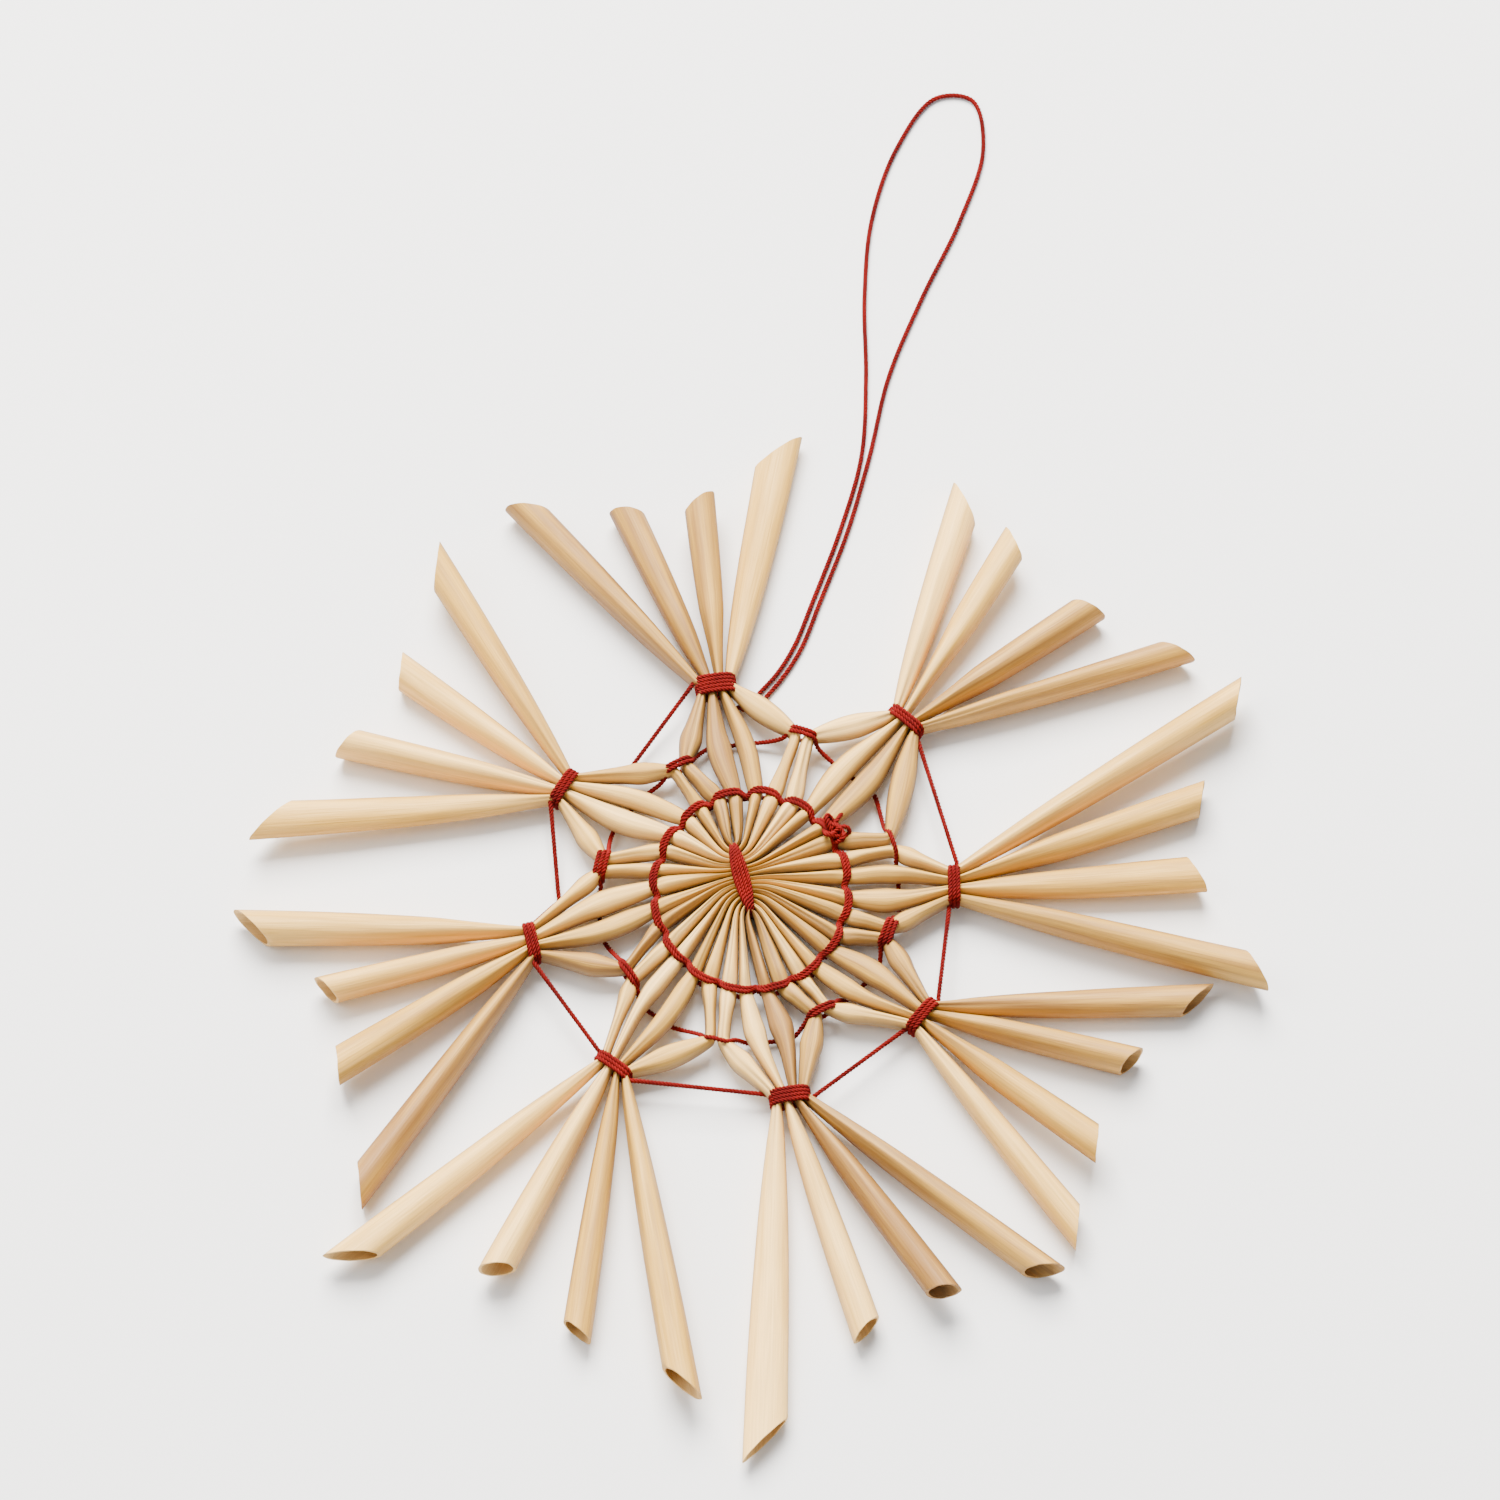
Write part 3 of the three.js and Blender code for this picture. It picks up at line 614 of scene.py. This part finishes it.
def spin_thread(name, runs, material):
    """Thread along each run of points, in millimetres about the ring's centre, as one plain mesh."""
    curve = bpy.data.curves.new(name + "_line", "CURVE")
    curve.dimensions = "3D"
    for run in runs:
        placed = (np.asarray(run) + (*ring_centre, 0)) * mm
        spline = curve.splines.new("POLY")
        spline.points.add(len(placed) - 1)
        spline.points.foreach_set("co", np.column_stack([placed, np.ones(len(placed))]).reshape(-1))
    line = bpy.data.objects.new(name + "_line", curve)
    bpy.context.scene.collection.objects.link(line)
    spun = line.modifiers.new("Thread", "NODES")
    spun.node_group = twisted_thread
    spun[thread_sizes["Ply radius"]] = ply_radius * mm
    spun[thread_sizes["Plies"]] = plies
    spun[thread_sizes["Twist length"]] = twist_length * mm
    spun[thread_sizes["Step"]] = thread_step * mm
    spun[thread_sizes["Sides"]] = ply_sides
    spun[thread_sizes["Material"]] = material
    bpy.context.view_layer.update()
    shape = line.evaluated_get(bpy.context.evaluated_depsgraph_get())
    mesh = bpy.data.meshes.new_from_object(shape)
    mesh.name = name
    piece = bpy.data.objects.new(name, mesh)
    bpy.context.scene.collection.objects.link(piece)
    bpy.data.objects.remove(line)
    return piece


def thread_material():
    """Dull cotton dyed red, darker between its plies and a little faded along the way."""
    material = bpy.data.materials.new("red cotton thread")
    material.use_nodes = True
    tree = material.node_tree
    surface = tree.nodes["Principled BSDF"]
    place = tree.nodes.new("ShaderNodeTexCoord").outputs["Object"]
    lint = wire(tree, "ShaderNodeTexNoise", Vector=place, Scale=9000.0, Detail=4.0, Roughness=0.65)
    patch = wire(tree, "ShaderNodeTexNoise", Vector=place, Scale=420.0, Detail=2.0)
    patch_share = wire(tree, "ShaderNodeMapRange", {"clamp": True}, _0=patch.outputs["Fac"],
                       _1=0.35, _2=0.65).outputs[0]
    colour = blend(tree, patch_share, (0.085, 0.0022, 0.002, 1), (0.165, 0.004, 0.0035, 1))
    lint_share = wire(tree, "ShaderNodeMapRange", {"clamp": True}, _0=lint.outputs["Fac"],
                      _1=0.42, _2=0.72, _3=0.0, _4=0.5).outputs[0]
    colour = blend(tree, lint_share, colour, (0.24, 0.009, 0.006, 1))
    tree.links.new(colour, surface.inputs["Base Color"])
    rough = wire(tree, "ShaderNodeMapRange", {"clamp": True}, _0=lint.outputs["Fac"],
                 _1=0.3, _2=0.7, _3=0.72, _4=0.95).outputs[0]
    tree.links.new(rough, surface.inputs["Roughness"])
    bump = wire(tree, "ShaderNodeBump", Strength=0.6, Distance=0.03 * mm, Height=lint.outputs["Fac"])
    tree.links.new(bump.outputs[0], surface.inputs["Normal"])
    surface.inputs["Specular IOR Level"].default_value = 0.12
    return material


red_cotton = thread_material()


def finish_thread(piece, node):
    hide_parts(node)
    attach(piece, "root")


binding_turns = 4
binding_reach, binding_rise = 3.35, 1.32  # from its middle to its ends, and to its top
end_spread, top_spread = 0.35, 1.15  # how far the turns spread, and how much more on top
winding = np.linspace(0.15, 2 * math.pi * binding_turns - 0.15, 64 * binding_turns)
flat = np.sign(np.sin(winding)) * np.abs(np.sin(winding)) ** 0.42
lengthwise = binding_reach * np.cos(winding)
spread = end_spread + top_spread * np.sin(winding) ** 2
sideways = (winding / (2 * math.pi * binding_turns) - 0.5) * spread
binding_run = np.column_stack([
    binding_centre[0] + along_binding[0] * lengthwise + across_binding[0] * sideways,
    binding_centre[1] + along_binding[1] * lengthwise + across_binding[1] * sideways,
    mid_height + flat * binding_rise])
finish_thread(spin_thread("binding_thread", [binding_run], red_cotton), "centre_binding")

# ---- The inner ring -----------------------------------------------------------------------------
# The same thread taken round the star over and under every pair of arms, twice above and once below.
# It bows out over each pair and pulls down into the gaps between them. Its ends are knotted on top.

ring_rise = 0.74
# Where a strand is led over a pair, as a share of the way from the first straw to the second, with
# how far it bulges outwards there and how far it rises.
ring_stations = ((-0.12, 0.06, -0.1), (0.5, 0.16, 0.04), (1.12, 0.06, -0.1))
dip_inward, dip_height = 0.22, 0.35  # how it pulls in between pairs
knot_squash = 0.55


def ring_strand(side, offset, wobble):
    points = []
    for step in range(arm_count // 2 + 1):
        pair = (step * 2 + 4) % arm_count
        first, second, following = (ring_place((pair + k) % arm_count) for k in (0, 1, 2))
        dip = (second + following) / 2
        top = mid_height + side * (ring_rise + thread_radius)
        for share, bulge, rise in ring_stations:
            place = first + share * (second - first)
            outward = place / np.linalg.norm(place)
            shift = offset + bulge + wobble * math.sin(2.3 * pair + 3 * share)
            points.append([*(place + outward * shift), top + side * rise])
        outward = dip / np.linalg.norm(dip)
        shift = 0.45 * offset - dip_inward
        points.append([*(dip + outward * shift), mid_height + side * dip_height])
    return smooth_run(points)


def knot(centre, bearing, height, size):
    """A flat overhand knot, drawn up tight, with its ends cut close."""
    turn = np.linspace(0.3, 2 * math.pi + 0.1, 60)
    flat_knot = np.column_stack([
        np.sin(turn) + 2 * np.sin(2 * turn), knot_squash * (np.cos(turn) - 2 * np.cos(2 * turn)),
        -1.1 * np.sin(3 * turn)]) * size
    lean = math.radians(bearing)
    spun = np.column_stack([
        flat_knot[:, 0] * math.cos(lean) - flat_knot[:, 1] * math.sin(lean),
        flat_knot[:, 0] * math.sin(lean) + flat_knot[:, 1] * math.cos(lean),
        flat_knot[:, 2]])
    return spun + (*centre, height)


ring_knot_place = polar(9.35, 38)
ring_top = mid_height + ring_rise + 2 * thread_radius + 0.15
tails = []
for lean, reach in ((62, 1.7), (118, 1.4)):
    away = polar(1, lean)
    tails.append(smooth_run([
        [*ring_knot_place, ring_top], [*(ring_knot_place + 0.5 * reach * away), ring_top + 0.15],
        [*(ring_knot_place + reach * away), ring_top - 0.25]]))
ring_runs = [
    ring_strand(1, -0.17, 0.04), ring_strand(1, 0.17, 0.04), ring_strand(-1, 0.0, 0.05),
    knot(ring_knot_place, -58, ring_top, 0.46),
    knot(ring_knot_place + polar(0.75, -52), 12, ring_top + 0.08, 0.4), *tails,
]
finish_thread(spin_thread("ring_thread", ring_runs, red_cotton), "inner_ring_thread")

# ---- The ties between neighbouring fans ---------------------------------------------------------
# A second round of thread draws together the side arms of neighbouring fans. It passes one to three
# times over each pair, then slips under the two middle arms of the next fan.


def crossing(arm, radius):
    """Where an arm reaches a radius from the centre, and how wide it is there."""
    shape = arms[arm % arm_count]
    reach = np.linalg.norm(shape.at, axis=1)
    index = int(np.argmax((reach >= radius) & (shape.run > 4)))
    return shape.at[index], shape.width[index]


def wind(centre, bearing, half_width, half_height, turns, pitch, start, end):
    """Turns of thread round a bundle, side by side along it, from one side over the top."""
    across, outward = polar(1, bearing + 90), polar(1, bearing)
    angle = np.linspace(start, 2 * math.pi * turns + end, int(26 * turns) + 6)
    flat_side = np.sign(np.cos(angle)) * np.abs(np.cos(angle)) ** 0.6
    flat_top = np.sign(np.sin(angle)) * np.abs(np.sin(angle)) ** 0.6
    drift = (angle / (2 * math.pi) - turns / 2) * pitch
    place = centre + np.outer(flat_side * half_width, across) + np.outer(drift, outward)
    return np.column_stack([place, mid_height + half_height * flat_top])


pair_turns = (0, 1, 1, 2, 1, 0, 1, 2)  # full turns round each pair before the last pass over it
pair_half_width, pair_half_height = pair_pitch + 0.24, 0.95 + thread_radius
slip_height = mid_height - 1.15 - thread_radius
side_gap = 1.75  # from the middle of a pair to the gap beside it
pair_lay = 0.4  # from turn to turn

slips = []  # the two middle arms of each fan, where the thread runs below them
for index, fan in enumerate(fans):
    halfway = (fan["pair"][0] + fans[index - 1]["pair"][0]) / 2
    slips.append([crossing(arms_per_fan * index + middle_arm, halfway) for middle_arm in (1, 2)])


def beside(centre, place):
    """A point in the gap beside a tied pair, on the way to another place."""
    return centre + side_gap * (place - centre) / np.linalg.norm(place - centre)


pair_run = []
for index, fan in enumerate(fans):
    across_fan = slips[index][1][0] - slips[index][0][0]
    across_fan = across_fan / np.linalg.norm(across_fan)
    for place, width in slips[index]:
        for share in (-0.3, 0.3):
            pair_run.append([*(place + share * width * across_fan), slip_height])
    radius, bearing = fan["pair"]
    centre = polar(radius, bearing)
    turned = wind(
        centre, bearing, -pair_half_width, pair_half_height, pair_turns[index], pair_lay,
        0.5, math.pi - 0.5)
    following = slips[(index + 1) % len(fans)]
    pair_run.append([*beside(centre, slips[index][1][0]), mid_height - 0.1])
    pair_run.extend(turned[::2].tolist())
    pair_run.append([*beside(centre, following[0][0]), mid_height - 0.1])
finish_thread(spin_thread("pair_thread", [smooth_run(pair_run)], red_cotton), "middle_ring_thread")

# ---- The outer ties -----------------------------------------------------------------------------
# A third round gathers the arms in fours, with three passes or more over each fan, and runs straight
# from fan to fan. It starts at the top fan and ends one short of it, so one side is left open.

fan_order = [2, 3, 4, 5, 6, 7, 0, 1]
usual_turns, tie_turns = 2, {2: 4, 6: 3}  # full turns before the last pass, and where there are more
tie_half_width, tie_half_height, tie_lay = 1.52 + thread_radius, 1.05 + thread_radius, 0.36
under_run = {2: (-11.3, 12.2, 0.5), 3: (-17.3, -0.25, 0.5)}  # where a run slips under a side arm


def pull_taut(points, gap=0.9):
    """Straight spans between points that lie far apart, so that a smooth run keeps to them."""
    taut = [points[0]]
    for point in points[1:]:
        last = np.array(taut[-1])
        count = max(1, math.ceil(np.linalg.norm(np.array(point) - last) / gap))
        taut.extend((last + (np.array(point) - last) * k / count).tolist() for k in range(1, count + 1))
    return taut


fan_line = []
for index in fan_order:
    radius, bearing = fans[index]["tie"]
    turns = tie_turns.get(index, usual_turns)
    turned = wind(
        polar(radius, bearing), bearing, -tie_half_width, tie_half_height, turns, tie_lay, 0.0, math.pi)
    fan_line.extend(turned[::2].tolist())
    if index in under_run:
        fan_line.append(list(under_run[index]))
loop_knot = knot((-0.6, 18.95), 40, 0.62, 0.22)  # where the hanging loop is made fast
fan_runs = [smooth_run(pull_taut(fan_line)), loop_knot]
finish_thread(spin_thread("fan_thread", fan_runs, red_cotton), "outer_ring_thread")

# ---- The hanging loop ---------------------------------------------------------------------------
# One thread, knotted under the top fan's side arm beside its tie, to hang the star by. Lying on a
# table its two strands run side by side away from the star and part into a slack bight.

loop_route = [
    (-0.35, 18.86, 0.42), (0.8, 20.3, 0.32), (2.43, 22.28, 0.3), (4.0, 25.05, 0.3), (5.64, 29.4, 0.3),
    (8.2, 36.6, 0.3), (10.15, 44.0, 0.3), (10.6, 52.0, 0.3), (10.5, 60.0, 0.3), (11.2, 68.0, 0.3),
    (13.6, 75.5, 0.3), (17.2, 80.6, 0.3), (20.6, 80.4, 0.3), (21.6, 75.4, 0.3), (19.4, 68.0, 0.3),
    (15.8, 60.0, 0.3), (12.7, 52.0, 0.3), (10.9, 44.0, 0.3), (8.85, 36.4, 0.3), (6.26, 29.2, 0.3),
    (4.6, 24.75, 0.3), (2.97, 21.92, 0.3), (1.4, 19.9, 0.32), (0.25, 18.44, 0.42),
]
loop_run = smooth_run(loop_route)
hanging_thread = spin_thread("hanging_thread", [loop_run], red_cotton)
finish_thread(hanging_thread, "hanging_loop")

# ---- The table, the light and the camera --------------------------------------------------------
# A plain pale table top under a broad soft light from above and behind, seen from well above.

table_reach = 1.5
table_corners = [
    (across * table_reach, forward * table_reach, 0)
    for across, forward in ((-1, -1), (1, -1), (1, 1), (-1, 1))]
table_top = bpy.data.meshes.new("table_top")
table_top.from_pydata(table_corners, [], [(0, 1, 2, 3)])
paint = bpy.data.materials.new("pale table paint")
paint.use_nodes = True
paint_tree = paint.node_tree
painted = paint_tree.nodes["Principled BSDF"]
paint_place = paint_tree.nodes.new("ShaderNodeTexCoord").outputs["Object"]
mottle = wire(paint_tree, "ShaderNodeTexNoise", Vector=paint_place, Scale=14.0, Detail=3.0)
paint_colour = blend(paint_tree, mottle.outputs["Fac"], (0.83, 0.83, 0.835, 1), (0.87, 0.87, 0.872, 1))
paint_tree.links.new(paint_colour, painted.inputs["Base Color"])
painted.inputs["Roughness"].default_value = 0.85
table_top.materials.append(paint)
table = bpy.data.objects.new("table_top", table_top)
bpy.context.scene.collection.objects.link(table)

world = bpy.data.worlds.new("studio")
bpy.context.scene.world = world
world.use_nodes = True
air = world.node_tree.nodes["Background"]
air.inputs["Color"].default_value = (0.89, 0.95, 1.0, 1)
air.inputs["Strength"].default_value = 0.62

middle = (solid_box[0] + solid_box[1]) / 2
for name, place, size, power in (
    ("sky_panel", (-0.12, 0.70, 0.85), 0.75, 72.0),
    ("side_panel", (-0.6, 0.1, 0.7), 0.6, 6.0),
):
    light = bpy.data.lights.new(name, "AREA")
    light.size, light.energy, light.color = size, power, (1.0, 0.965, 0.92)
    lamp = bpy.data.objects.new(name, light)
    lamp.location = middle + Vector(place)
    lamp.rotation_mode = "QUATERNION"
    lamp.rotation_quaternion = Vector(place).to_track_quat("Z", "Y")
    bpy.context.scene.collection.objects.link(lamp)

camera_data = bpy.data.cameras.new("camera")
camera_data.lens = 252
camera_data.sensor_width = 36
camera = bpy.data.objects.new("camera", camera_data)
elevation, camera_distance = math.radians(67), 0.95
back = Vector((0, -math.cos(elevation), math.sin(elevation)))
camera.rotation_mode = "QUATERNION"
camera.location = middle + camera_distance * back
camera.rotation_quaternion = back.to_track_quat("Z", "Y")
camera_data.clip_start, camera_data.clip_end = 0.01, 20
bpy.context.scene.collection.objects.link(camera)
bpy.context.scene.camera = camera
